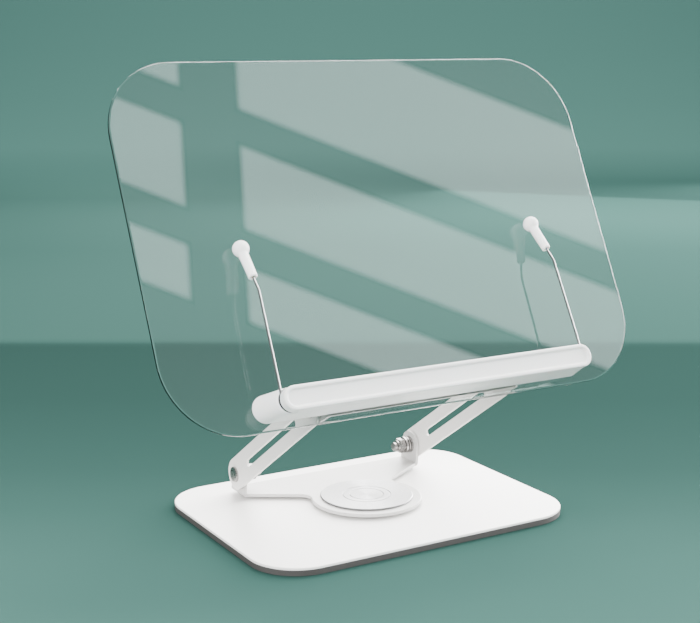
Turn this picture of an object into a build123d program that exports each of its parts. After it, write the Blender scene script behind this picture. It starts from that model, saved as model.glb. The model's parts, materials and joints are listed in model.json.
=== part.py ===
"""Clear reading stand: a tilting acrylic panel with a book ledge, on two arms over a swivel base.

Frame: origin at the centre of the mat's underside, on the swivel axis. +X to the right,
-Y towards the reader, +Z up. Millimetres.
"""

from build123d import *
from math import cos, radians, sin, sqrt
import os

os.makedirs("parts", exist_ok=True)

# ---- base -----------------------------------------------------------------------------------
plate_length = 240.0
plate_depth = 180.0
plate_thickness = 1.5
plate_corner = 34.0
plate_edge_round = 0.6
mat_thickness = 4.0
mat_edge_round = 0.4
plate_top = mat_thickness + plate_thickness

# ---- plain swivel bearing, between the plate and the lower bracket ---------------------------------
bearing_height = 1.9
wear_ring_thickness = 0.5
wear_ring_inner = 12.0
wear_ring_outer = 30.0
glide_inner = 13.0
glide_outer = 24.0
glide_thickness = 0.7
glide_groove_radius = 0.5
glide_groove_count = 8

rivet_circle = 27.5
rivet_count = 4
rivet_radius = 1.5
rivet_head_radius = 2.2
rivet_head_height = 0.4
countersunk_radius = 2.75
hole_clearance = 0.05

spindle_radius = 6.0
spindle_head_radius = 10.0
spindle_head_height = 1.5
spindle_neck_radius = 3.0
spindle_neck_rise = 0.55
mat_recess_radius = 12.0
bush_outer = 8.0
bush_flange_radius = 11.0
bush_flange_thickness = 0.6
retainer_radius = 11.0
retainer_thickness = 0.4
retainer_gap = 0.1

# ---- lower bracket ------------------------------------------------------------------------------
sheet = 2.2
bracket_bottom = plate_top + bearing_height
bracket_top = bracket_bottom + sheet
bracket_disc_radius = 39.0
wing_slope = 0.6
wing_start = 3.3
wing_back = 67.0
wing_fillet = 9.0
ear_outer = 73.8
ear_inner = ear_outer - sheet
lug_front = wing_slope * ear_inner + wing_start
ear_radius = 10.0
bracket_round = 0.6
bend_inner = 0.8
bend_outer = 2.0

# ---- swivel cap -----------------------------------------------------------------------------------
cap_radius = 32.7
cap_bottom = bracket_top + 0.2
cap_top = bracket_top + 1.4
cap_chamfer = 0.4
cap_recess_radius = 13.0
cap_recess_depth = 0.5
cap_outer_ring = 17.0
cap_inner_ring = 12.0
cap_groove_width = 0.3
cap_groove_depth = 0.25
cap_ring_crown = 0.12
cap_dish = 0.25
adhesive_inner = 18.0
adhesive_outer = 31.0

# ---- arms and their pivots --------------------------------------------------------------------------
arm_pitch = 131.0
arm_elevation = 33.9
arm_width = 22.4
arm_thickness = 2.0
arm_inner = 74.3
arm_outer = arm_inner + arm_thickness
arm_slot_width = 5.0
arm_slot_inset = 25.0
arm_edge_round = 0.3
lower_pivot = (55.0, 22.6)
upper_pivot = (
    lower_pivot[0] - arm_pitch * cos(radians(arm_elevation)),
    lower_pivot[1] + arm_pitch * sin(radians(arm_elevation)),
)

bolt_radius = 3.0
bolt_head_radius = 5.5
bolt_head_height = 1.7
bolt_head_round = 0.5
bolt_tip_inset = 15.0
bolt_tip_chamfer = 0.5
pivot_gap = 0.05
friction_washer_radius = 8.0
flat_washer_radius = 6.25
flat_washer_thickness = 1.1
spring_count = 4
spring_thickness = 0.5
spring_cone = 0.4
spring_pitch = spring_thickness + spring_cone + 0.02
nut_across_flats = 10.0
nut_height = 4.6
nut_chamfer = 0.5
nut_collar_radius = 4.3
nut_collar_height = 1.3

# ---- acrylic panel -------------------------------------------------------------------------------------
panel_width = 360.0
panel_height = 245.0
panel_thickness = 3.0
panel_corner = 50.0
panel_edge_round = 1.0
panel_lean = 26.43
pivot_rise = 13.3
pivot_setback = 23.0

# ---- upper bracket behind the panel ---------------------------------------------------------------------
pad_thickness = 0.5
pad_margin = 1.5
web_low = 4.3
web_high = 24.0

# ---- book ledge -------------------------------------------------------------------------------------------
ledge_centre = 14.1
ledge_height_at_panel = 17.8
ledge_height_at_front = 16.2
ledge_length_at_panel = 251.4
ledge_length_at_front = 235.6
ledge_depth = 20.2
ledge_front_round = 2.0
holder_gap = 1.8
lip_back = ledge_depth + holder_gap
lip_front = 28.5
lip_length = 233.8
lip_height = 15.5
lip_centre = 13.9
lip_rim = 2.6
lip_recess = 1.8
lip_floor_round = 1.2
lip_rim_round = 1.0
land_half_length = 111.8
land_low_half_length = 106.5
trough_length = 200.0
trough_floor = 14.5
strip_length = 196.0
strip_depth = 17.0
strip_thickness = 1.0
strip_rib_count = 3
strip_rib_radius = 0.4

screw_spacing = 40.0
screw_count = 4
screw_height = 10.2
screw_radius = 2.0
screw_head_radius = 3.6
screw_head_height = 2.2
screw_socket_radius = 1.3
screw_socket_depth = 1.2
screw_reach = 8.0
insert_outer = 3.1
insert_length = 9.0
insert_inset = 0.2

# ---- page holders -----------------------------------------------------------------------------------------
holder_pivot_x = 112.0
eye_radius = 3.0
wire_radius = 0.8
eye_notch_radius = 4.8
eye_sweep = 318.0
post_radius = eye_radius - wire_radius - hole_clearance
post_length = 10.6
post_screw_radius = 1.2
post_screw_head_radius = 2.8
post_screw_head_height = 2.0
post_screw_reach = 17.5
end_pad_radius = 7.4
end_pad_thickness = 2.6
end_pocket_depth = 2.8
end_arc_x = (ledge_length_at_front - ledge_height_at_front) / 2
wire_depth = ledge_depth + holder_gap / 2
holder_lean_in = 1.2
wire_lean_start = 16.0
wire_bend = (70.2, 19.6)
ball_centre = (100.8, 6.7)
wire_in_sleeve = 11.0
wire_lean_radius = 150.0
wire_bend_radius = 9.0
tip_ball_radius = 5.4
sleeve_length = 23.4
sleeve_foot_radius = 3.0
sleeve_neck_radius = 3.3
sleeve_mouth_radius = 1.5
sleeve_mouth_depth = 1.2
sleeve_round = 0.6
sleeve_neck_fillet = 2.0

# ---- planes and points of the leaning panel -----------------------------------------------------------------
panel_up = Vector(0, sin(radians(panel_lean)), cos(radians(panel_lean)))
panel_front = Vector(0, -cos(radians(panel_lean)), sin(radians(panel_lean)))
upper_axis_point = Vector(0, *upper_pivot)
panel_foot = upper_axis_point - panel_up * pivot_rise + panel_front * pivot_setback
panel_plane = Plane(origin=panel_foot, x_dir=(1, 0, 0), z_dir=panel_front)
web_back = -panel_thickness - pad_thickness - sheet


def side_point(rise, depth):
    """A point of the leaning panel's side view, as (y, z) for a sketch on Plane.YZ."""
    point = panel_foot + panel_up * rise + panel_front * depth
    return (point.Y, point.Z)


def inside_ears(edge):
    """True for an edge that lies between the two ears of a bracket."""
    return abs(edge.center().X) < (ear_inner + ear_outer) / 2


def ring_of(count, radius):
    """Locations evenly spaced on a circle, as a context."""
    return PolarLocations(radius, count, start_angle=180 / count)


# ==== base body ==================================================================================================

# Rubber mat, as wide as the plate, with a blind recess over it for the spindle's head.
with BuildPart() as base_mat:
    with BuildSketch():
        RectangleRounded(plate_length, plate_depth, plate_corner)
    extrude(amount=mat_thickness)
    fillet(base_mat.faces().sort_by(Axis.Z)[0].edges(), mat_edge_round)
    with BuildSketch(Plane.XY.offset(mat_thickness)):
        Circle(mat_recess_radius)
    extrude(amount=-spindle_head_height - hole_clearance, mode=Mode.SUBTRACT)
base_mat.part.label = "base_mat"
export_step(base_mat.part, "parts/base_mat.step")

# Steel base plate with the spindle hole and four rivet holes for the lower ring.
with BuildPart() as base_plate:
    with BuildSketch(Plane.XY.offset(mat_thickness)):
        RectangleRounded(plate_length, plate_depth, plate_corner)
    extrude(amount=plate_thickness)
    fillet(base_plate.faces().sort_by(Axis.Z)[-1].edges(), plate_edge_round)
    with BuildSketch(Plane.XY.offset(mat_thickness)):
        Circle(spindle_radius + hole_clearance)
        with ring_of(rivet_count, rivet_circle):
            Circle(rivet_radius + hole_clearance)
    extrude(amount=plate_thickness, mode=Mode.SUBTRACT)
base_plate.part.label = "base_plate"
export_step(base_plate.part, "parts/base_plate.step")

# Lower wear ring, riveted to the plate.
with BuildPart() as lower_wear_ring:
    with BuildSketch(Plane.XY.offset(plate_top)):
        Circle(wear_ring_outer)
        Circle(wear_ring_inner, mode=Mode.SUBTRACT)
        with ring_of(rivet_count, rivet_circle):
            Circle(rivet_radius + hole_clearance, mode=Mode.SUBTRACT)
    extrude(amount=wear_ring_thickness)
lower_wear_ring.part.label = "lower_wear_ring"
export_step(lower_wear_ring.part, "parts/lower_wear_ring.step")

# Rivets that hold the lower ring, with low round heads.
with BuildPart() as wear_ring_rivets:
    with BuildSketch(Plane.XY.offset(mat_thickness)):
        with ring_of(rivet_count, rivet_circle):
            Circle(rivet_radius)
    extrude(amount=plate_thickness + wear_ring_thickness)
    with BuildSketch(Plane.XY.offset(plate_top + wear_ring_thickness)):
        with ring_of(rivet_count, rivet_circle):
            Circle(rivet_head_radius)
    extrude(amount=rivet_head_height)
wear_ring_rivets.part.label = "wear_ring_rivets"
export_step(wear_ring_rivets.part, "parts/wear_ring_rivets.step")

# Spindle: a headed stud that rises from under the plate to just above the bracket.
with BuildPart() as swivel_spindle:
    with BuildSketch(Plane.XY.offset(mat_thickness)):
        Circle(spindle_head_radius)
    extrude(amount=-spindle_head_height)
    with BuildSketch(Plane.XY.offset(mat_thickness)):
        Circle(spindle_radius)
    extrude(amount=bracket_top + retainer_gap - mat_thickness)
    with BuildSketch(Plane.XY.offset(bracket_top)):
        Circle(spindle_neck_radius)
    extrude(amount=spindle_neck_rise)
swivel_spindle.part.label = "swivel_spindle"
export_step(swivel_spindle.part, "parts/swivel_spindle.step")

# Retaining washer pressed on the spindle's neck, over the bracket.
with BuildPart() as spindle_retainer:
    with BuildSketch(Plane.XY.offset(bracket_top + retainer_gap)):
        Circle(retainer_radius)
        Circle(spindle_neck_radius, mode=Mode.SUBTRACT)
    extrude(amount=retainer_thickness)
spindle_retainer.part.label = "spindle_retainer"
export_step(spindle_retainer.part, "parts/spindle_retainer.step")

# ==== swivel body ================================================================================================

# Nylon glide ring between the wear rings, with radial grease grooves in its top.
with BuildPart() as glide_ring:
    glide_bottom = plate_top + (bearing_height - glide_thickness) / 2
    with BuildSketch(Plane.XY.offset(glide_bottom)):
        Circle(glide_outer)
        Circle(glide_inner, mode=Mode.SUBTRACT)
    extrude(amount=glide_thickness)
    with Locations(Plane.XY.offset(glide_bottom + glide_thickness + glide_groove_radius / 2)):
        with PolarLocations((glide_inner + glide_outer) / 2, glide_groove_count):
            Cylinder(
                glide_groove_radius, glide_outer, rotation=(0, 90, 0), mode=Mode.SUBTRACT
            )
glide_ring.part.label = "glide_ring"
export_step(glide_ring.part, "parts/glide_ring.step")

# Upper wear ring, riveted under the bracket.
with BuildPart() as upper_wear_ring:
    with BuildSketch(Plane.XY.offset(bracket_bottom - wear_ring_thickness)):
        Circle(wear_ring_outer)
        Circle(wear_ring_inner, mode=Mode.SUBTRACT)
        with ring_of(rivet_count, rivet_circle):
            Circle(rivet_radius + hole_clearance, mode=Mode.SUBTRACT)
    extrude(amount=wear_ring_thickness)
upper_wear_ring.part.label = "upper_wear_ring"
export_step(upper_wear_ring.part, "parts/upper_wear_ring.step")

# Lower bracket: a disc over the bearing, two wings to the back, and a lug bent up at each end.
with BuildPart() as swivel_bracket:
    with BuildSketch(Plane.XY.offset(bracket_bottom)) as bracket_flat:
        with BuildLine():
            Polyline(
                (0, wing_start),
                (ear_inner, lug_front),
                (ear_outer, lug_front),
                (ear_outer, wing_back),
                (-ear_outer, wing_back),
                (-ear_outer, lug_front),
                (-ear_inner, lug_front),
                close=True,
            )
        make_face()
        Circle(bracket_disc_radius)
        fillet(bracket_flat.vertices().group_by(Axis.Y)[0], wing_fillet)
    extrude(amount=sheet)
    rim = swivel_bracket.faces().sort_by(Axis.Z)[-1].edges()
    fillet(rim.filter_by(lambda edge: abs(edge.center().X) < ear_inner), bracket_round)
    with BuildSketch(Plane.YZ.offset(ear_inner)):
        with BuildLine():
            Line((lug_front, bracket_bottom), (wing_back, bracket_bottom))
            CenterArc(lower_pivot, ear_radius, 0, 360)
        make_hull()
    extrude(amount=sheet)
    with BuildSketch(Plane.YZ.offset(-ear_outer)):
        with BuildLine():
            Line((lug_front, bracket_bottom), (wing_back, bracket_bottom))
            CenterArc(lower_pivot, ear_radius, 0, 360)
        make_hull()
    extrude(amount=sheet)
    fillet(swivel_bracket.edges().filter_by(Axis.Y).group_by(Axis.Z)[0], bend_outer)
    bend_edges = swivel_bracket.edges().filter_by(Axis.Y).filter_by(inside_ears)
    fillet(bend_edges.group_by(Axis.Z)[-1], bend_inner)
    with BuildSketch(Plane.YZ.offset(-ear_outer)):
        with Locations(lower_pivot):
            Circle(bolt_radius + hole_clearance)
    extrude(amount=2 * ear_outer, mode=Mode.SUBTRACT)
    with BuildSketch(Plane.XY.offset(bracket_bottom)):
        Circle(bush_outer)
    extrude(amount=sheet, mode=Mode.SUBTRACT)
    with Locations(Plane.XY.offset(bracket_top)):
        with ring_of(rivet_count, rivet_circle):
            CounterSinkHole(
                rivet_radius + hole_clearance, countersunk_radius + hole_clearance, sheet, 90
            )
swivel_bracket.part.label = "swivel_bracket"
export_step(swivel_bracket.part, "parts/swivel_bracket.step")

# Countersunk rivets that hold the upper ring under the bracket.
with BuildPart() as bracket_rivets:
    rivet_foot = bracket_bottom - wear_ring_thickness
    head_start = bracket_top - (countersunk_radius - rivet_radius)
    with BuildSketch(Plane.XZ):
        with BuildLine():
            Polyline(
                (0, rivet_foot),
                (rivet_radius, rivet_foot),
                (rivet_radius, head_start),
                (countersunk_radius, bracket_top),
                (0, bracket_top),
                close=True,
            )
        make_face()
    one_rivet = revolve(axis=Axis.Z, mode=Mode.PRIVATE)
    with ring_of(rivet_count, rivet_circle):
        add(one_rivet)
bracket_rivets.part.label = "bracket_rivets"
export_step(bracket_rivets.part, "parts/bracket_rivets.step")

# Plain flanged bush in the bracket, running on the spindle.
with BuildPart() as swivel_bush:
    with BuildSketch(Plane.XY.offset(bracket_bottom - bush_flange_thickness)):
        Circle(bush_flange_radius)
        Circle(spindle_radius + hole_clearance, mode=Mode.SUBTRACT)
    extrude(amount=bush_flange_thickness)
    with BuildSketch(Plane.XY.offset(bracket_bottom)):
        Circle(bush_outer)
        Circle(spindle_radius + hole_clearance, mode=Mode.SUBTRACT)
    extrude(amount=sheet)
swivel_bush.part.label = "swivel_bush"
export_step(swivel_bush.part, "parts/swivel_bush.step")

# Adhesive ring under the cap.
with BuildPart() as cap_adhesive:
    with BuildSketch(Plane.XY.offset(bracket_top)):
        Circle(adhesive_outer)
        Circle(adhesive_inner, mode=Mode.SUBTRACT)
    extrude(amount=cap_bottom - bracket_top)
cap_adhesive.part.label = "cap_adhesive"
export_step(cap_adhesive.part, "parts/cap_adhesive.step")

# Turned aluminium cap: flat outer ring, a smooth crowned ring between two grooves, dished middle.
with BuildPart() as swivel_cap:
    groove_floor = cap_top - cap_groove_depth
    recess_roof = cap_bottom + cap_recess_depth
    ring_middle = (cap_outer_ring + cap_inner_ring) / 2
    with BuildSketch(Plane.XZ):
        with BuildLine():
            Polyline(
                (0, cap_top - cap_dish),
                (0, recess_roof),
                (cap_recess_radius, recess_roof),
                (cap_recess_radius, cap_bottom),
                (cap_radius - cap_chamfer, cap_bottom),
                (cap_radius, cap_bottom + cap_chamfer),
                (cap_radius, cap_top - cap_chamfer),
                (cap_radius - cap_chamfer, cap_top),
                (cap_outer_ring + cap_groove_width, cap_top),
                (cap_outer_ring, groove_floor),
                (cap_outer_ring - cap_groove_width, cap_top),
            )
            ThreePointArc(
                (cap_outer_ring - cap_groove_width, cap_top),
                (ring_middle, cap_top + cap_ring_crown),
                (cap_inner_ring + cap_groove_width, cap_top),
            )
            Polyline(
                (cap_inner_ring + cap_groove_width, cap_top),
                (cap_inner_ring, groove_floor),
                (cap_inner_ring - cap_groove_width, cap_top),
            )
            TangentArc(
                (0, cap_top - cap_dish),
                (cap_inner_ring - cap_groove_width, cap_top),
                tangent=(1, 0),
            )
        make_face()
    revolve(axis=Axis.Z)
swivel_cap.part.label = "swivel_cap"
export_step(swivel_cap.part, "parts/swivel_cap.step")

# ==== arms body ==================================================================================================

# One flat arm on each side, round-ended, with a long slot between its two pivot holes.
arm_middle = ((lower_pivot[0] + upper_pivot[0]) / 2, (lower_pivot[1] + upper_pivot[1]) / 2)
for side_name, arm_x in (("left", -arm_outer), ("right", arm_inner)):
    with BuildPart() as arm:
        with BuildSketch(Plane.YZ.offset(arm_x)):
            with Locations(Location(arm_middle, -arm_elevation)):
                SlotCenterToCenter(arm_pitch, arm_width)
                SlotCenterToCenter(
                    arm_pitch - 2 * arm_slot_inset, arm_slot_width, mode=Mode.SUBTRACT
                )
            with Locations(lower_pivot, upper_pivot):
                Circle(bolt_radius + hole_clearance, mode=Mode.SUBTRACT)
        extrude(amount=arm_thickness)
        rims = arm.faces().filter_by(Axis.X)
        fillet(rims.edges().filter_by(lambda edge: edge.length > 2 * arm_width / 3), arm_edge_round)
    arm.part.label = f"{side_name}_arm"
    export_step(arm.part, f"parts/{side_name}_arm.step")

# The same stack of hardware at each pivot, mirrored left and right.
stack_start = ear_inner - pivot_gap
springs_start = stack_start - flat_washer_thickness
springs_end = springs_start - spring_count * spring_pitch
nut_start = springs_end - flat_washer_thickness
bolt_tip = ear_inner - bolt_tip_inset
for level, pivot in (("lower", lower_pivot), ("upper", upper_pivot)):
    pivot_axis = Axis((0, *pivot), (1, 0, 0))
    section = Plane(origin=(0, *pivot), x_dir=(1, 0, 0), z_dir=(0, 0, 1))

    # Pivot bolts: a low round head outside the arm and a plain shank to the nut.
    with BuildPart() as pivot_bolts:
        with BuildSketch(section):
            with BuildLine():
                Polyline(
                    (bolt_tip, 0),
                    (bolt_tip, bolt_radius - bolt_tip_chamfer),
                    (bolt_tip + bolt_tip_chamfer, bolt_radius),
                    (arm_outer, bolt_radius),
                    (arm_outer, bolt_head_radius),
                    (arm_outer + bolt_head_height - bolt_head_round, bolt_head_radius),
                    (arm_outer + bolt_head_height, bolt_head_radius - bolt_head_round),
                    (arm_outer + bolt_head_height, 0),
                    close=True,
                )
            make_face()
        revolve(axis=pivot_axis)
        mirror(about=Plane.YZ)
    pivot_bolts.part.label = f"{level}_pivot_bolts"
    export_step(pivot_bolts.part, f"parts/{level}_pivot_bolts.step")

    # Friction washers between each ear and its arm.
    with BuildPart() as friction_washers:
        with BuildSketch(Plane.YZ.offset(ear_outer + pivot_gap)):
            with Locations(pivot):
                Circle(friction_washer_radius)
                Circle(bolt_radius + hole_clearance, mode=Mode.SUBTRACT)
        extrude(amount=arm_inner - ear_outer - 2 * pivot_gap)
        mirror(about=Plane.YZ)
    friction_washers.part.label = f"{level}_friction_washers"
    export_step(friction_washers.part, f"parts/{level}_friction_washers.step")

    # Flat washers on both sides of the disc springs.
    with BuildPart() as flat_washers:
        for washer_start in (springs_start, nut_start):
            with BuildSketch(Plane.YZ.offset(washer_start)):
                with Locations(pivot):
                    Circle(flat_washer_radius)
                    Circle(bolt_radius + hole_clearance, mode=Mode.SUBTRACT)
            extrude(amount=flat_washer_thickness)
        mirror(about=Plane.YZ)
    flat_washers.part.label = f"{level}_flat_washers"
    export_step(flat_washers.part, f"parts/{level}_flat_washers.step")

    # Disc springs, stacked in pairs that face each other.
    with BuildPart() as disc_springs:
        for index in range(spring_count):
            near = springs_end + index * spring_pitch
            cone = (0, spring_cone) if index % 2 else (spring_cone, 0)
            with BuildSketch(section):
                with BuildLine():
                    Polyline(
                        (near + cone[0], bolt_radius + hole_clearance),
                        (near + cone[1], flat_washer_radius),
                        (near + cone[1] + spring_thickness, flat_washer_radius),
                        (near + cone[0] + spring_thickness, bolt_radius + hole_clearance),
                        close=True,
                    )
                make_face()
            revolve(axis=pivot_axis)
        mirror(about=Plane.YZ)
    disc_springs.part.label = f"{level}_disc_springs"
    export_step(disc_springs.part, f"parts/{level}_disc_springs.step")

    # Lock nuts: a chamfered hexagon and a round collar.
    with BuildPart() as lock_nuts:
        with BuildSketch(Plane.YZ.offset(nut_start)):
            with Locations(pivot):
                RegularPolygon(nut_across_flats / 2, 6, major_radius=False)
        extrude(amount=-nut_height)
        fillet(lock_nuts.faces().sort_by(Axis.X)[0].edges(), nut_chamfer)
        with BuildSketch(Plane.YZ.offset(nut_start - nut_height)):
            with Locations(pivot):
                Circle(nut_collar_radius)
        extrude(amount=-nut_collar_height)
        with BuildSketch(Plane.YZ.offset(nut_start)):
            with Locations(pivot):
                Circle(bolt_radius + hole_clearance)
        extrude(amount=-nut_height - nut_collar_height, mode=Mode.SUBTRACT)
        mirror(about=Plane.YZ)
    lock_nuts.part.label = f"{level}_lock_nuts"
    export_step(lock_nuts.part, f"parts/{level}_lock_nuts.step")

# ==== panel body =================================================================================================

# Screw positions along the ledge, shared by the bracket, the pad, the panel and the ledge.
screw_places = [
    ((index - (screw_count - 1) / 2) * screw_spacing, screw_height) for index in range(screw_count)
]

# Upper bracket: a web behind the panel with an ear bent back at each end.
with BuildPart() as upper_bracket:
    with BuildSketch(panel_plane.offset(web_back)):
        with Locations((0, (web_low + web_high) / 2)):
            Rectangle(2 * ear_outer, web_high - web_low)
    extrude(amount=sheet)
    for ear_x in (ear_inner, -ear_outer):
        with BuildSketch(Plane.YZ.offset(ear_x)):
            with BuildLine():
                Line(side_point(web_low, web_back + sheet), side_point(web_high, web_back + sheet))
                CenterArc(upper_pivot, ear_radius, 0, 360)
            make_hull()
        extrude(amount=sheet)
    up_axis = Axis(panel_foot, panel_up)
    front_axis = Axis(panel_foot, panel_front)
    fillet(upper_bracket.edges().filter_by(up_axis).group_by(front_axis)[-1], bend_outer)
    bend_edges = upper_bracket.edges().filter_by(up_axis).filter_by(inside_ears)
    fillet(bend_edges.group_by(front_axis)[0], bend_inner)
    with BuildSketch(Plane.YZ.offset(-ear_outer)):
        with Locations(upper_pivot):
            Circle(bolt_radius + hole_clearance)
    extrude(amount=2 * ear_outer, mode=Mode.SUBTRACT)
    with BuildSketch(panel_plane.offset(web_back)):
        with Locations(*screw_places):
            Circle(screw_radius + hole_clearance)
    extrude(amount=sheet, mode=Mode.SUBTRACT)
upper_bracket.part.label = "upper_bracket"
export_step(upper_bracket.part, "parts/upper_bracket.step")

# Soft pad between the web and the acrylic.
with BuildPart() as bracket_pad:
    with BuildSketch(panel_plane.offset(-panel_thickness - pad_thickness)):
        with Locations((0, (web_low + web_high) / 2)):
            Rectangle(2 * ear_inner, web_high - web_low - 2 * pad_margin)
        with Locations(*screw_places):
            Circle(screw_radius + hole_clearance, mode=Mode.SUBTRACT)
    extrude(amount=pad_thickness)
bracket_pad.part.label = "bracket_pad"
export_step(bracket_pad.part, "parts/bracket_pad.step")

# Clear acrylic panel with large round corners.
with BuildPart() as acrylic_panel:
    with BuildSketch(panel_plane.offset(-panel_thickness)):
        with Locations((0, panel_height / 2)):
            RectangleRounded(panel_width, panel_height, panel_corner)
    extrude(amount=panel_thickness)
    fillet(acrylic_panel.faces().filter_by(front_axis).edges(), panel_edge_round)
    with BuildSketch(panel_plane.offset(-panel_thickness)):
        with Locations(*screw_places):
            Circle(screw_radius + hole_clearance)
    extrude(amount=panel_thickness, mode=Mode.SUBTRACT)
acrylic_panel.part.label = "acrylic_panel"
export_step(acrylic_panel.part, "parts/acrylic_panel.step")

# Ledge: a round-ended bar, a little longer at the panel, with a trough in its top.
with BuildPart() as ledge_body:
    with BuildSketch(panel_plane):
        with Locations((0, ledge_centre)):
            SlotOverall(ledge_length_at_panel, ledge_height_at_panel)
    with BuildSketch(panel_plane.offset(ledge_depth)):
        with Locations((0, ledge_centre)):
            SlotOverall(ledge_length_at_front, ledge_height_at_front)
    loft()
    fillet(ledge_body.faces().sort_by(front_axis)[-1].edges(), ledge_front_round)
    land_top = lip_centre + lip_height / 2
    land_bottom = lip_centre - lip_height / 2
    with BuildSketch(panel_plane.offset(ledge_depth - ledge_front_round)):
        with BuildLine():
            Polyline(
                (-land_low_half_length, land_bottom),
                (land_low_half_length, land_bottom),
                (land_low_half_length, ledge_centre),
                (land_half_length, ledge_centre),
                (land_half_length, land_top),
                (-land_half_length, land_top),
                (-land_half_length, ledge_centre),
                (-land_low_half_length, ledge_centre),
                close=True,
            )
        make_face()
    extrude(amount=ledge_front_round + holder_gap)
    with BuildSketch(panel_plane.offset(ledge_depth)):
        with Locations((-holder_pivot_x, ledge_centre), (holder_pivot_x, ledge_centre)):
            Circle(eye_notch_radius)
    extrude(amount=holder_gap, mode=Mode.SUBTRACT)
    with BuildSketch(panel_plane.offset(ledge_depth - end_pocket_depth)):
        with Locations((-end_arc_x, ledge_centre), (end_arc_x, ledge_centre)):
            Circle(end_pad_radius + hole_clearance)
    extrude(amount=end_pocket_depth, mode=Mode.SUBTRACT)
    with BuildSketch(panel_plane):
        with Locations((-holder_pivot_x, ledge_centre), (holder_pivot_x, ledge_centre)):
            Circle(post_radius + hole_clearance)
    extrude(amount=ledge_depth, mode=Mode.SUBTRACT)
    with BuildSketch(panel_plane):
        with Locations((-holder_pivot_x, ledge_centre), (holder_pivot_x, ledge_centre)):
            Circle(post_screw_head_radius + hole_clearance)
    extrude(amount=lip_back - post_length, mode=Mode.SUBTRACT)
    with BuildSketch(panel_plane):
        with Locations((0, trough_floor + ledge_height_at_panel / 2)):
            Rectangle(trough_length, ledge_height_at_panel)
    extrude(amount=ledge_depth, mode=Mode.SUBTRACT)
    with BuildSketch(panel_plane):
        with Locations(*screw_places):
            Circle(insert_outer)
    extrude(amount=insert_length + insert_inset, mode=Mode.SUBTRACT)
ledge_body.part.label = "ledge_body"
export_step(ledge_body.part, "parts/ledge_body.step")

# Front lip: a round-ended plate with a raised rim, and a post at each end for a page holder.
with BuildPart() as ledge_lip:
    with BuildSketch(panel_plane.offset(lip_back)):
        with Locations((0, lip_centre)):
            SlotOverall(lip_length, lip_height)
    extrude(amount=lip_front - lip_back)
    with BuildSketch(panel_plane.offset(lip_front - lip_recess)):
        with Locations((0, lip_centre)):
            SlotOverall(lip_length - 2 * lip_rim, lip_height - 2 * lip_rim)
    extrude(amount=lip_recess, mode=Mode.SUBTRACT)
    fillet(ledge_lip.faces().sort_by(front_axis)[-1].edges(), lip_rim_round)
    fillet(ledge_lip.faces().filter_by(front_axis).sort_by(front_axis)[-2].edges(), lip_floor_round)
    with BuildSketch(panel_plane.offset(lip_back)):
        with Locations((-holder_pivot_x, ledge_centre), (holder_pivot_x, ledge_centre)):
            Circle(post_radius)
    extrude(amount=-post_length)
    with BuildSketch(panel_plane.offset(lip_back - post_length)):
        with Locations((-holder_pivot_x, ledge_centre), (holder_pivot_x, ledge_centre)):
            Circle(post_screw_radius + hole_clearance)
    extrude(amount=post_length - holder_gap, mode=Mode.SUBTRACT)
ledge_lip.part.label = "ledge_lip"
export_step(ledge_lip.part, "parts/ledge_lip.step")

# Screws that pull the lip's posts into the ledge from behind.
with BuildPart() as lip_screws:
    head_front = lip_back - post_length
    with BuildSketch(panel_plane.offset(head_front)):
        with Locations((-holder_pivot_x, ledge_centre), (holder_pivot_x, ledge_centre)):
            Circle(post_screw_head_radius)
    extrude(amount=-post_screw_head_height)
    with BuildSketch(panel_plane.offset(head_front)):
        with Locations((-holder_pivot_x, ledge_centre), (holder_pivot_x, ledge_centre)):
            Circle(post_screw_radius)
    extrude(amount=post_screw_reach - head_front)
lip_screws.part.label = "lip_screws"
export_step(lip_screws.part, "parts/lip_screws.step")

# Brass inserts in the back of the ledge.
with BuildPart() as ledge_inserts:
    with BuildSketch(panel_plane.offset(insert_inset)):
        with Locations(*screw_places):
            Circle(insert_outer)
            Circle(screw_radius, mode=Mode.SUBTRACT)
    extrude(amount=insert_length)
ledge_inserts.part.label = "ledge_inserts"
export_step(ledge_inserts.part, "parts/ledge_inserts.step")

# Screws through the web, the pad and the panel into the inserts.
with BuildPart() as ledge_screws:
    with BuildSketch(panel_plane.offset(web_back)):
        with Locations(*screw_places):
            Circle(screw_head_radius)
    extrude(amount=-screw_head_height)
    with BuildSketch(panel_plane.offset(web_back - screw_head_height)):
        with Locations(*screw_places):
            RegularPolygon(screw_socket_radius, 6)
    extrude(amount=screw_socket_depth, mode=Mode.SUBTRACT)
    with BuildSketch(panel_plane.offset(web_back)):
        with Locations(*screw_places):
            Circle(screw_radius)
    extrude(amount=screw_reach - web_back)
ledge_screws.part.label = "ledge_screws"
export_step(ledge_screws.part, "parts/ledge_screws.step")

# Anti-slip strip on the trough's floor, with a few low ribs along it.
with BuildPart() as grip_strip:
    strip_front = (ledge_depth + strip_depth) / 2
    with BuildSketch(panel_plane.offset(strip_front)):
        with Locations((0, trough_floor + strip_thickness / 2)):
            Rectangle(strip_length, strip_thickness)
    extrude(amount=-strip_depth)
    with BuildSketch(Plane.YZ.offset(-strip_length / 2)):
        for rib in range(strip_rib_count):
            rib_depth = ledge_depth / 2 + (rib - (strip_rib_count - 1) / 2) * strip_depth / 4
            with Locations(side_point(trough_floor + strip_thickness, rib_depth)):
                Circle(strip_rib_radius)
    extrude(amount=strip_length)
grip_strip.part.label = "grip_strip"
export_step(grip_strip.part, "parts/grip_strip.step")

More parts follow.
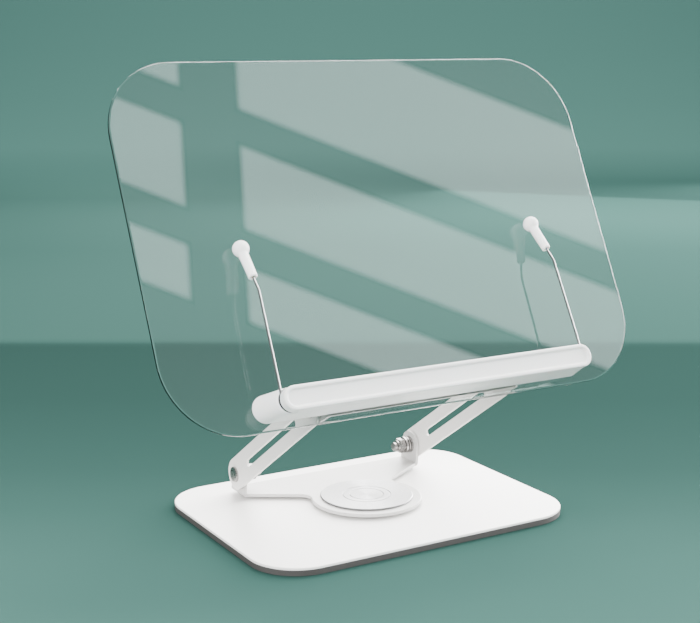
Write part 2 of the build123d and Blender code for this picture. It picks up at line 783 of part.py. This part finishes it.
# Dark friction pads in the ledge's end pockets, behind the wires' eyes.
with BuildPart() as holder_friction_pads:
    with BuildSketch(panel_plane.offset(ledge_depth - end_pocket_depth)):
        with Locations((-end_arc_x, ledge_centre), (end_arc_x, ledge_centre)):
            Circle(end_pad_radius)
        with Locations((-holder_pivot_x, ledge_centre), (holder_pivot_x, ledge_centre)):
            Circle(post_radius + hole_clearance, mode=Mode.SUBTRACT)
    extrude(amount=end_pad_thickness)
holder_friction_pads.part.label = "holder_friction_pads"
export_step(holder_friction_pads.part, "parts/holder_friction_pads.step")

# ==== page holders ===============================================================================================

# The right holder's plane: parallel to the panel, on the post's axis, leaning in at its top.
holder_plane = Plane(
    origin=panel_plane.from_local_coords((holder_pivot_x, ledge_centre, 0)),
    x_dir=Vector(1, 0, 0).rotate(Axis((0, 0, 0), panel_front), holder_lean_in),
    z_dir=panel_front,
)

# Unit step along the sleeve, as (rise, depth), and the wire's end inside it.
sleeve_run = (ball_centre[0] - wire_bend[0], ball_centre[1] - wire_bend[1])
sleeve_span = sqrt(sleeve_run[0] ** 2 + sleeve_run[1] ** 2)
sleeve_step = (sleeve_run[0] / sleeve_span, sleeve_run[1] / sleeve_span)
wire_stop = sleeve_length - wire_in_sleeve
wire_end = (ball_centre[0] - wire_stop * sleeve_step[0], ball_centre[1] - wire_stop * sleeve_step[1])

# Wire: an eye round the post, a straight rise, and a bend towards the panel.
with BuildPart() as right_holder_wire:
    with BuildLine(holder_plane) as wire_path:
        CenterArc((0, 0, wire_depth), eye_radius, -eye_sweep, eye_sweep)
        FilletPolyline(
            (eye_radius, 0, wire_depth),
            (eye_radius, wire_lean_start, wire_depth),
            (eye_radius, *wire_bend),
            (eye_radius, *wire_end),
            radius=[wire_lean_radius, wire_bend_radius],
        )
    with BuildSketch(Plane(origin=wire_path.line @ 0, z_dir=wire_path.line % 0)):
        Circle(wire_radius)
    sweep(path=wire_path.line)

# Tip: a tapered sleeve on the wire that ends in a ball.
tip_centre = holder_plane.from_local_coords((eye_radius, *ball_centre))
tip_axis_run = holder_plane.y_dir * sleeve_step[0] + panel_front * sleeve_step[1]
tip_plane = Plane(
    origin=tip_centre,
    x_dir=holder_plane.x_dir,
    z_dir=holder_plane.x_dir.cross(tip_axis_run),
)
with BuildPart() as right_holder_tip:
    with BuildSketch(tip_plane):
        with BuildLine():
            Polyline(
                (0, 0),
                (0, -sleeve_length + wire_in_sleeve),
                (wire_radius + hole_clearance, -sleeve_length + wire_in_sleeve),
                (wire_radius + hole_clearance, -sleeve_length + sleeve_mouth_depth),
                (sleeve_mouth_radius, -sleeve_length),
                (sleeve_foot_radius - sleeve_round, -sleeve_length),
                (sleeve_foot_radius, -sleeve_length + sleeve_round),
                (sleeve_neck_radius, 0),
                close=True,
            )
        make_face()
    revolve(axis=Axis(tip_centre, tip_axis_run))
    with Locations(tip_centre):
        Sphere(tip_ball_radius)
    circles = right_holder_tip.edges().filter_by(GeomType.CIRCLE)
    neck = circles.sort_by(Axis(tip_centre, tip_axis_run))[-2]
    fillet(neck, sleeve_neck_fillet)

for piece, name in ((right_holder_wire, "holder_wire"), (right_holder_tip, "holder_tip")):
    piece.part.label = f"right_{name}"
    export_step(piece.part, f"parts/right_{name}.step")
    left_piece = mirror(piece.part, about=Plane.YZ)
    left_piece.label = f"left_{name}"
    export_step(left_piece, f"parts/left_{name}.step")
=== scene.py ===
"""Looks of the clear reading stand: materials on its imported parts, the floor, the light and the camera."""

import json
import math

import bmesh
import bpy
from mathutils import Euler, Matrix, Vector

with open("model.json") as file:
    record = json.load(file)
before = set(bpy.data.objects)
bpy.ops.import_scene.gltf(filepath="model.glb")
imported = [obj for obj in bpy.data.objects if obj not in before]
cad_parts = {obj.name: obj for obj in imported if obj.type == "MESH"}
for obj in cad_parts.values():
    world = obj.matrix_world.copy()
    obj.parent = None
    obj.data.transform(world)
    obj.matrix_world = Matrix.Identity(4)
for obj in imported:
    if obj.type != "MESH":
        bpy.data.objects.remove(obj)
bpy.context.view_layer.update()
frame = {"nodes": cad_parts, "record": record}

# ---- camera, in the object's frame: place in metres, turn and tilt in degrees, lens and sensor in mm -
CAMERA_PLACE = (-0.48438, -0.79918, 0.32985)
CAMERA_YAW = -30.5
CAMERA_PITCH = -11.317
CAMERA_LENS = 70.97
SENSOR_WIDTH = 36.0

# ---- light: each softbox is (name, place, target, size, radiance, colour, seen in reflections) -------
WORLD_LIGHT = 0.42
BEAM_SPREAD = 110.0
WARM = (1.0, 0.985, 0.96)
NEUTRAL = (1.0, 1.0, 1.0)
MIDDLE = (0.0, 0.0, 0.12)
SOFTBOXES = (
    ("overhead", (0.6, 1.0, 3.3), (0.6, 1.0, 0.0), (6.5, 6.5), 1.1, WARM, False),
    ("key", (1.0, 0.9, 1.5), MIDDLE, (2.6, 2.3), 7.0, WARM, True),
    ("right", (1.9, 0.15, 0.55), (0.2, 0.0, 0.2), (2.6, 1.1), 11.0, NEUTRAL, True),
    ("low_right", (1.55, 1.25, 0.24), MIDDLE, (1.1, 0.46), 16.0, NEUTRAL, True),
    ("low_back", (1.05, 1.75, 0.42), MIDDLE, (1.4, 0.4), 3.0, NEUTRAL, True),
    ("front_fill", (-0.9, -2.1, 1.0), MIDDLE, (1.8, 1.6), 4.2, NEUTRAL, False),
    ("left_fill", (-2.1, -0.3, 0.8), MIDDLE, (1.4, 1.4), 5.0, NEUTRAL, False),
    ("backdrop", (1.0, 1.7, 2.4), (1.75, 2.95, 0.9), (3.5, 0.8), 8.0, NEUTRAL, False),
)

# ---- the window that the clear panel mirrors ---------------------------------------------------------
# A point and the two directions of its plane, then, in that plane, the ways of its rows and columns, its
# first corner, and the (start, length) of each column and row. The lengths are in metres.
WINDOW_PLACE = (1.086, -1.357, 1.569)
WINDOW_ACROSS = (-0.771, -0.637, 0.0)
WINDOW_UPWARD = (-0.390, 0.471, 0.791)
WINDOW_ROW_WAY = (-0.617, -0.787)
WINDOW_COLUMN_WAY = (0.471, -0.882)
WINDOW_CORNER = (0.151, 0.246)
WINDOW_COLUMNS = ((-0.423, 0.30), (0.0, 1.05))
WINDOW_ROWS = ((-0.33, 0.267), (0.0, 0.206), (0.274, 0.143))
PANE_BLUR = 0.022
PANE_RADIANCE = 8.0
PANE_TINT = (0.82, 1.0, 0.97)

# ---- stage, in metres: a flat floor, a bend and a wall -----------------------------------------------
STAGE_HALF_WIDTH = 5.0
STAGE_FRONT = -3.0
STAGE_BEND_START = 2.2
STAGE_BEND_RADIUS = 1.2
STAGE_BEND_STEPS = 16
STAGE_WALL_TOP = 4.0

# ---- colours (linear) ----------------------------------------------------------------------------
PLATE_WHITE = (0.79, 0.775, 0.757)
# The bracket's coat is the plate's white powder coat made darker: painted shade.
BRACKET_SHADED_WHITE = (0.50, 0.49, 0.477)
ARM_WHITE = (0.70, 0.68, 0.66)
LEDGE_WHITE = (0.80, 0.80, 0.795)
TIP_WHITE = (0.90, 0.90, 0.895)
MAT_GREY = (0.045, 0.043, 0.042)
FIBRE_BLACK = (0.02, 0.02, 0.02)
STRIP_GREY = (0.42, 0.43, 0.43)
NYLON = (0.72, 0.70, 0.64)
PAD_GREY = (0.55, 0.56, 0.56)
STEEL = (0.62, 0.61, 0.60)
WIRE_GREY = (0.60, 0.59, 0.58)
NICKEL = (0.40, 0.385, 0.375)
ALUMINIUM = (0.28, 0.28, 0.285)
BRASS = (0.78, 0.56, 0.24)
ACRYLIC = (0.965, 0.985, 0.978)
SKY = (0.95, 0.98, 1.0)
FLOOR_SAGE = (0.025, 0.061, 0.053)

# ---- surfaces: noise scales per metre, relief in metres, shares of the colour, swings of roughness ----
COAT_MOTTLE_SCALE = 14.0
COAT_TONES = (0.975, 1.015)
COAT_GLOSS_SCALE = 420.0
COAT_GLOSS_SWING = (-0.06, 0.08)
COAT_PEEL_SCALE = 1500.0
COAT_PEEL_HEIGHT = 0.00006
COAT_PEEL = 0.25
COAT_WEIGHT = 0.12
COAT_ROUGHNESS = 0.3
MOULD_MOTTLE_SCALE = 25.0
MOULD_TONES = (0.97, 1.02)
MOULD_GLOSS_SWING = (-0.05, 0.06)
MOULD_HEIGHT = 0.00004
MOULD_SOFT_DEPTH = 0.002
METAL_TONES = (0.88, 1.04)
METAL_GLOSS_SWING = (-0.07, 0.12)
METAL_HEIGHT = 0.00003
METAL_RELIEF = 0.12
CAP_ROUGHNESS = 0.3
CAP_TONES = (0.72, 1.14)
CAP_GLOSS_SWING = (-0.1, 0.12)
CAP_RING_SCALE = 5200.0
CAP_RING_HEIGHT = 0.00002
CAP_RING_RELIEF = 0.35
CAP_ANISOTROPY = 0.9
HAZE_SCALE = 30.0
HAZE_ROUGHNESS = 0.02
ACRYLIC_IOR = 1.49
PAPER_ROUGHNESS = 0.95

# ---- paper with painted light and shade: (way along the floor and up the wall, share of the colour) ---
# Painted shade makes it darker up to a table's edge, which is not modelled; painted light makes it lighter
# again behind that edge and up the wall.
PAPER_START = -0.25
PAPER_END = 3.75
TABLE_EDGE_PAINTED_SHADE = (
    (-0.20, 1.12), (-0.09, 0.97), (0.0, 0.75), (0.09, 0.60), (0.20, 0.51), (0.30, 0.45), (0.528, 0.40),
)
GROUND_PAINTED_LIGHT = ((0.552, 0.74), (1.20, 0.78), (1.90, 1.10), (2.30, 1.70))
WALL_PAINTED_LIGHT = ((2.60, 2.00), (2.95, 1.70), (3.27, 1.5), (3.50, 1.4))
PAPER_PAINTED_LIGHT_AND_SHADE = TABLE_EDGE_PAINTED_SHADE + GROUND_PAINTED_LIGHT + WALL_PAINTED_LIGHT

# ---- sockets of the Mix node in its colour mode: factor, first and second colour, and the result -----
MIX_COLOUR_INPUTS = (0, 6, 7)
MIX_COLOUR_OUTPUT = 2


# ---- material helpers ------------------------------------------------------------------------------
def new_material(name, base, roughness, metallic=0.0):
    """A material with one Principled shader, and the handles to go on with it."""
    material = bpy.data.materials.new(name)
    material.use_nodes = True
    tree = material.node_tree
    shader = next(node for node in tree.nodes if node.type == "BSDF_PRINCIPLED")
    shader.inputs["Base Color"].default_value = (*base, 1.0)
    shader.inputs["Roughness"].default_value = roughness
    shader.inputs["Metallic"].default_value = metallic
    return material, tree, shader


def object_place(tree):
    """The point on the surface, in its own object's frame."""
    return tree.nodes.new("ShaderNodeTexCoord").outputs["Object"]


def noise(tree, place, scale, detail=2.0, roughness=0.5):
    """A smooth random value from 0 to 1, fixed to the surface."""
    node = tree.nodes.new("ShaderNodeTexNoise")
    node.inputs["Scale"].default_value = scale
    node.inputs["Detail"].default_value = detail
    node.inputs["Roughness"].default_value = roughness
    tree.links.new(place, node.inputs["Vector"])
    return node.outputs["Fac"]


def spread(tree, value, low, high):
    """Maps a value from the range 0 to 1 to the range low to high."""
    node = tree.nodes.new("ShaderNodeMapRange")
    node.inputs["To Min"].default_value = low
    node.inputs["To Max"].default_value = high
    tree.links.new(value, node.inputs["Value"])
    return node.outputs["Result"]


def blend_colours(tree, value, first, second):
    """A colour that goes from first to second with the value."""
    node = tree.nodes.new("ShaderNodeMix")
    node.data_type = "RGBA"
    factor, first_socket, second_socket = (node.inputs[index] for index in MIX_COLOUR_INPUTS)
    tree.links.new(value, factor)
    first_socket.default_value = (*first, 1.0)
    second_socket.default_value = (*second, 1.0)
    return node.outputs[MIX_COLOUR_OUTPUT]


def bump(tree, height, distance, strength):
    """A normal that follows a height."""
    node = tree.nodes.new("ShaderNodeBump")
    node.inputs["Distance"].default_value = distance
    node.inputs["Strength"].default_value = strength
    tree.links.new(height, node.inputs["Height"])
    return node.outputs["Normal"]


def shade(colour, factor):
    """The colour, lighter or darker by a factor."""
    return tuple(channel * factor for channel in colour)


def vary_colour(tree, shader, value, colour, tones):
    """Lets the base colour go between two shades with a value."""
    first, second = (shade(colour, tone) for tone in tones)
    tree.links.new(blend_colours(tree, value, first, second), shader.inputs["Base Color"])


def vary_roughness(tree, shader, value, roughness, swing):
    """Lets the roughness go down and up by a swing with a value."""
    low, high = (roughness + step for step in swing)
    tree.links.new(spread(tree, value, low, high), shader.inputs["Roughness"])


# ---- materials ---------------------------------------------------------------------------------------
def powder_coat(name, colour, roughness):
    """Satin powder coat: a fine orange peel with slow colour and gloss changes."""
    material, tree, shader = new_material(name, colour, roughness)
    place = object_place(tree)
    slow = noise(tree, place, COAT_MOTTLE_SCALE)
    vary_colour(tree, shader, slow, colour, COAT_TONES)
    gloss = noise(tree, place, COAT_GLOSS_SCALE, detail=3.0)
    vary_roughness(tree, shader, gloss, roughness, COAT_GLOSS_SWING)
    fine = noise(tree, place, COAT_PEEL_SCALE)
    tree.links.new(bump(tree, fine, COAT_PEEL_HEIGHT, COAT_PEEL), shader.inputs["Normal"])
    shader.inputs["Coat Weight"].default_value = COAT_WEIGHT
    shader.inputs["Coat Roughness"].default_value = COAT_ROUGHNESS
    return material


def moulded(name, colour, roughness, grain_scale=1800.0, grain=0.15, soft=0.0):
    """Moulded plastic or rubber with a fine grain."""
    material, tree, shader = new_material(name, colour, roughness)
    place = object_place(tree)
    slow = noise(tree, place, MOULD_MOTTLE_SCALE)
    vary_colour(tree, shader, slow, colour, MOULD_TONES)
    fine = noise(tree, place, grain_scale, detail=3.0)
    vary_roughness(tree, shader, fine, roughness, MOULD_GLOSS_SWING)
    tree.links.new(bump(tree, fine, MOULD_HEIGHT, grain), shader.inputs["Normal"])
    shader.inputs["Subsurface Weight"].default_value = soft
    shader.inputs["Subsurface Scale"].default_value = MOULD_SOFT_DEPTH
    return material


def metal(name, colour, roughness, grain_scale=900.0):
    """Plated or ground metal with faint marks."""
    material, tree, shader = new_material(name, colour, roughness, metallic=1.0)
    place = object_place(tree)
    marks = noise(tree, place, grain_scale, detail=4.0, roughness=0.6)
    vary_roughness(tree, shader, marks, roughness, METAL_GLOSS_SWING)
    vary_colour(tree, shader, marks, colour, METAL_TONES)
    tree.links.new(bump(tree, marks, METAL_HEIGHT, METAL_RELIEF), shader.inputs["Normal"])
    return material


def radius_from_axis(tree, place):
    """Distance from the object's Z axis."""
    flat = tree.nodes.new("ShaderNodeVectorMath")
    flat.operation = "MULTIPLY"
    flat.inputs[1].default_value = (1.0, 1.0, 0.0)
    tree.links.new(place, flat.inputs[0])
    length = tree.nodes.new("ShaderNodeVectorMath")
    length.operation = "LENGTH"
    tree.links.new(flat.outputs[0], length.inputs[0])
    return length.outputs["Value"]


def spun_aluminium(name):
    """Aluminium turned on a lathe: fine rings, and a glint that fans out from the centre."""
    material, tree, shader = new_material(name, ALUMINIUM, CAP_ROUGHNESS, metallic=1.0)
    place = object_place(tree)
    radius = radius_from_axis(tree, place)
    rings = tree.nodes.new("ShaderNodeTexNoise")
    rings.noise_dimensions = "1D"
    rings.inputs["Scale"].default_value = CAP_RING_SCALE
    rings.inputs["Detail"].default_value = 4.0
    tree.links.new(radius, rings.inputs["W"])
    ring_value = rings.outputs["Fac"]
    vary_roughness(tree, shader, ring_value, CAP_ROUGHNESS, CAP_GLOSS_SWING)
    vary_colour(tree, shader, ring_value, ALUMINIUM, CAP_TONES)
    tree.links.new(bump(tree, ring_value, CAP_RING_HEIGHT, CAP_RING_RELIEF), shader.inputs["Normal"])
    tangent = tree.nodes.new("ShaderNodeTangent")
    tangent.direction_type = "RADIAL"
    tangent.axis = "Z"
    tree.links.new(tangent.outputs["Tangent"], shader.inputs["Tangent"])
    shader.inputs["Anisotropic"].default_value = CAP_ANISOTROPY
    return material


def clear_acrylic(name):
    """Cast acrylic: clear and smooth, with a faint cool tint and the slightest haze."""
    material, tree, shader = new_material(name, ACRYLIC, 0.0)
    shader.inputs["Transmission Weight"].default_value = 1.0
    shader.inputs["IOR"].default_value = ACRYLIC_IOR
    place = object_place(tree)
    haze = noise(tree, place, HAZE_SCALE, detail=4.0)
    vary_roughness(tree, shader, haze, 0.0, (0.0, HAZE_ROUGHNESS))
    return material


MATERIALS = {
    "plate_white": powder_coat("powder_coat_plate", PLATE_WHITE, 0.45),
    # The bracket's coat is a darker, painted-shade copy of the plate's white.
    "bracket_white": powder_coat("powder_coat_bracket", BRACKET_SHADED_WHITE, 0.40),
    "arm_white": powder_coat("powder_coat_arm", ARM_WHITE, 0.40),
    "mat_rubber": moulded("rubber_mat", MAT_GREY, 0.78, grain_scale=1100.0, grain=0.5),
    "ledge_plastic": moulded("white_moulding", LEDGE_WHITE, 0.34, soft=0.08),
    "tip_plastic": moulded("white_tip", TIP_WHITE, 0.42, soft=0.1),
    "strip_rubber": moulded("grip_rubber", STRIP_GREY, 0.7, grain=0.4),
    "friction_fibre": moulded("dark_fibre", FIBRE_BLACK, 0.7, grain=0.4),
    "bush_nylon": moulded("nylon", NYLON, 0.45),
    "pad_foam": moulded("soft_pad", PAD_GREY, 0.6, grain=0.3),
    "adhesive": moulded("dark_adhesive", FIBRE_BLACK, 0.6),
    "cap_aluminium": spun_aluminium("spun_aluminium"),
    "bearing_steel": metal("ground_steel", STEEL, 0.3),
    "pivot_steel": metal("nickel_plate", NICKEL, 0.26),
    "wire_steel": metal("drawn_wire", WIRE_GREY, 0.34, grain_scale=2500.0),
    "insert_brass": metal("brass", BRASS, 0.25),
    "clear_acrylic": clear_acrylic("cast_acrylic"),
}


def dress_nodes():
    """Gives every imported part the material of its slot."""
    for subpart in frame["record"]["subparts"]:
        node = frame["nodes"][subpart["node"]]
        node.data.materials.clear()
        node.data.materials.append(MATERIALS[subpart["material_slot"]])


# ---- stage, light and camera -------------------------------------------------------------------------
def paper_with_painted_light_and_shade(depth_way):
    """Matt sage paper with painted light and shade; its tone follows the way along the floor, in one
    direction, and up the wall.
    """
    material, tree, shader = new_material("stage_paper", FLOOR_SAGE, PAPER_ROUGHNESS)
    shader.inputs["Specular IOR Level"].default_value = 0.0
    way = tree.nodes.new("ShaderNodeVectorMath")
    way.operation = "DOT_PRODUCT"
    way.inputs[1].default_value = (depth_way.x, depth_way.y, 1.0)
    tree.links.new(object_place(tree), way.inputs[0])
    along = tree.nodes.new("ShaderNodeMapRange")
    along.inputs["From Min"].default_value = PAPER_START
    along.inputs["From Max"].default_value = PAPER_END
    tree.links.new(way.outputs["Value"], along.inputs["Value"])
    # The ramp paints light and shade into the paper's colour: darker up to the table's edge, lighter behind
    # it and up the wall.
    ramp = tree.nodes.new("ShaderNodeValToRGB")
    stops = ramp.color_ramp.elements
    while len(stops) < len(PAPER_PAINTED_LIGHT_AND_SHADE):
        stops.new(1.0)
    for stop, (place, share) in zip(stops, PAPER_PAINTED_LIGHT_AND_SHADE):
        stop.position = (place - PAPER_START) / (PAPER_END - PAPER_START)
        stop.color = (*shade(FLOOR_SAGE, share), 1.0)
    tree.links.new(along.outputs["Result"], ramp.inputs["Fac"])
    tree.links.new(ramp.outputs["Color"], shader.inputs["Base Color"])
    return material


def make_stage():
    """A plain floor that curves up into a backdrop, in one mesh."""
    profile = [(STAGE_FRONT, 0.0), (STAGE_BEND_START, 0.0)]
    for step in range(1, STAGE_BEND_STEPS + 1):
        turn = math.pi / 2 * step / STAGE_BEND_STEPS
        depth = STAGE_BEND_START + STAGE_BEND_RADIUS * math.sin(turn)
        height = STAGE_BEND_RADIUS * (1 - math.cos(turn))
        profile.append((depth, height))
    profile.append((STAGE_BEND_START + STAGE_BEND_RADIUS, STAGE_WALL_TOP))
    turned = Euler((0.0, 0.0, math.radians(CAMERA_YAW))).to_matrix()
    mesh = bmesh.new()
    rows = []
    for depth, height in profile:
        corners = ((-STAGE_HALF_WIDTH, depth, height), (STAGE_HALF_WIDTH, depth, height))
        rows.append([mesh.verts.new(turned @ Vector(corner)) for corner in corners])
    for first, second in zip(rows, rows[1:]):
        face = mesh.faces.new((first[0], first[1], second[1], second[0]))
        face.smooth = True
    data = bpy.data.meshes.new("stage")
    mesh.to_mesh(data)
    mesh.free()
    stage = bpy.data.objects.new("stage", data)
    bpy.context.scene.collection.objects.link(stage)
    data.materials.append(paper_with_painted_light_and_shade(turned @ Vector((0.0, 1.0, 0.0))))


def area_light(name, place, target, size, power, colour):
    """A softbox at a place, turned to its target."""
    data = bpy.data.lights.new(name, "AREA")
    data.shape = "RECTANGLE"
    data.size, data.size_y = size
    data.energy = power
    data.color = colour
    data.spread = math.radians(BEAM_SPREAD)
    light = bpy.data.objects.new(name, data)
    light.location = place
    light.rotation_euler = (Vector(target) - Vector(place)).to_track_quat("-Z", "Y").to_euler()
    bpy.context.scene.collection.objects.link(light)
    return light


def border_fade(tree, way, border, inner):
    """A value that rises smoothly from 0 at a pane's border to 1 at an inner place."""
    ramp = tree.nodes.new("ShaderNodeMapRange")
    ramp.interpolation_type = "SMOOTHSTEP"
    ramp.inputs["From Min"].default_value = min(border, inner)
    ramp.inputs["From Max"].default_value = max(border, inner)
    ramp.inputs["To Min"].default_value = border
    ramp.inputs["To Max"].default_value = 1.0 - border
    tree.links.new(way, ramp.inputs["Value"])
    return ramp.outputs["Result"]


def product(tree, first, second):
    """The first value times the second."""
    node = tree.nodes.new("ShaderNodeMath")
    node.operation = "MULTIPLY"
    tree.links.new(first, node.inputs[0])
    tree.links.new(second, node.inputs[1])
    return node.outputs["Value"]


def pane_material(width, height):
    """Light that fades out over PANE_BLUR metres at the pane's four borders."""
    material = bpy.data.materials.new("window_light")
    material.use_nodes = True
    tree = material.node_tree
    tree.nodes.clear()
    split = tree.nodes.new("ShaderNodeSeparateXYZ")
    tree.links.new(tree.nodes.new("ShaderNodeUVMap").outputs["UV"], split.inputs["Vector"])
    level = tree.nodes.new("ShaderNodeValue")
    level.outputs["Value"].default_value = PANE_RADIANCE
    strength = level.outputs["Value"]
    for socket, span in (("X", width), ("Y", height)):
        blur = PANE_BLUR / span
        for border, inner in ((0.0, blur), (1.0, 1.0 - blur)):
            fade = border_fade(tree, split.outputs[socket], border, inner)
            strength = product(tree, strength, fade)
    glow = tree.nodes.new("ShaderNodeEmission")
    glow.inputs["Color"].default_value = (*PANE_TINT, 1.0)
    tree.links.new(strength, glow.inputs["Strength"])
    output = tree.nodes.new("ShaderNodeOutputMaterial")
    tree.links.new(glow.outputs["Emission"], output.inputs["Surface"])
    return material


def make_pane(name, start, row_side, column_side):
    """One pane from its first corner and two sides, which only reflections and surfaces see."""
    points = (start, start + row_side, start + row_side + column_side, start + column_side)
    data = bpy.data.meshes.new(name)
    data.from_pydata([tuple(point) for point in points], [], [(0, 1, 2, 3)])
    layer = data.uv_layers.new(name="UVMap")
    for loop, uv in zip(layer.data, ((0, 0), (1, 0), (1, 1), (0, 1))):
        loop.uv = uv
    data.materials.append(pane_material(row_side.length, column_side.length))
    pane = bpy.data.objects.new(name, data)
    pane.visible_camera = False
    pane.visible_transmission = False
    pane.visible_shadow = False
    bpy.context.scene.collection.objects.link(pane)


def make_window():
    """A slanted studio window, two columns of three panes, which the clear panel mirrors."""
    across = Vector(WINDOW_ACROSS)
    upward = Vector(WINDOW_UPWARD)
    row_way = across * WINDOW_ROW_WAY[0] + upward * WINDOW_ROW_WAY[1]
    column_way = across * WINDOW_COLUMN_WAY[0] + upward * WINDOW_COLUMN_WAY[1]
    corner = Vector(WINDOW_PLACE) + across * WINDOW_CORNER[0] + upward * WINDOW_CORNER[1]
    for column, (left, width) in enumerate(WINDOW_COLUMNS):
        for row, (top, height) in enumerate(WINDOW_ROWS):
            start = corner + row_way * left + column_way * top
            make_pane(f"window_pane_{column}_{row}", start, row_way * width, column_way * height)


def make_light():
    """A faint even sky and the softboxes, which neither the camera nor a clear part sees."""
    world = bpy.data.worlds.new("studio")
    world.use_nodes = True
    background = world.node_tree.nodes["Background"]
    background.inputs["Color"].default_value = (*SKY, 1.0)
    background.inputs["Strength"].default_value = WORLD_LIGHT
    bpy.context.scene.world = world
    for name, place, target, size, radiance, colour, mirrored in SOFTBOXES:
        power = radiance * math.pi * size[0] * size[1]
        light = area_light(name, place, target, size, power, colour)
        light.visible_camera = False
        light.visible_transmission = False
        light.visible_glossy = mirrored


def make_camera():
    """The camera at the photograph's angle."""
    data = bpy.data.cameras.new("camera")
    data.lens = CAMERA_LENS
    data.sensor_width = SENSOR_WIDTH
    data.clip_start = 0.01
    camera = bpy.data.objects.new("camera", data)
    camera.location = CAMERA_PLACE
    camera.rotation_euler = (math.radians(90 + CAMERA_PITCH), 0.0, math.radians(CAMERA_YAW))
    bpy.context.scene.collection.objects.link(camera)
    bpy.context.scene.camera = camera


dress_nodes()
make_stage()
make_light()
make_window()
make_camera()
